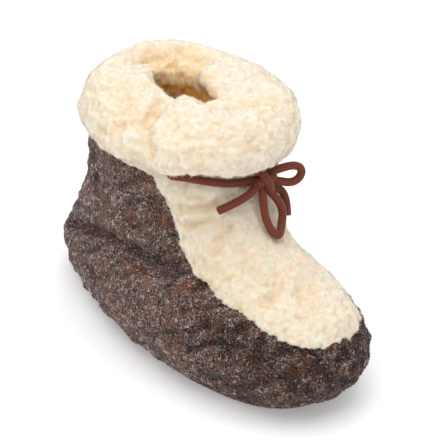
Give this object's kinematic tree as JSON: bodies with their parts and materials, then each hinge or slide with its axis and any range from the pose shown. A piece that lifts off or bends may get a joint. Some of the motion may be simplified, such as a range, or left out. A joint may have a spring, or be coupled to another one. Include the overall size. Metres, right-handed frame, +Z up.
{
  "type": "slipper boot",
  "caption": "Ankle-high slipper boot for the right foot: dark felt foot and heel, cream shearling vamp, shaft and turned-down cuff, braided cord tied in a bow.",
  "frame": {"origin": "middle of the footprint on the floor, measured without the bow", "axes": "+Y to the toe, +X to the outer side of the right foot, +Z up"},
  "size_m": [0.135, 0.2818, 0.175],
  "materials": {
    "sole_felt": "dense dark wool felt",
    "footbed": "cream fleece footbed",
    "felt": "thick brown melange wool felt with grey and rust fibres",
    "shearling": "cream curly shearling pile",
    "cuff_fleece": "deep cream shearling, folded over",
    "braid": "red-brown round braided cord"
  },
  "bodies": {
    "root": {"sole": "sole_felt", "insole": "footbed", "felt_upper": "felt", "shearling_upper": "shearling", "cuff": "cuff_fleece", "cord_bar_outer": "braid", "cord_bar_inner": "braid", "cord_knot": "braid", "cord_loop_inner": "braid", "cord_loop_front": "braid", "cord_end_outer": "braid", "cord_end_front": "braid"}
  },
  "joints": []
}
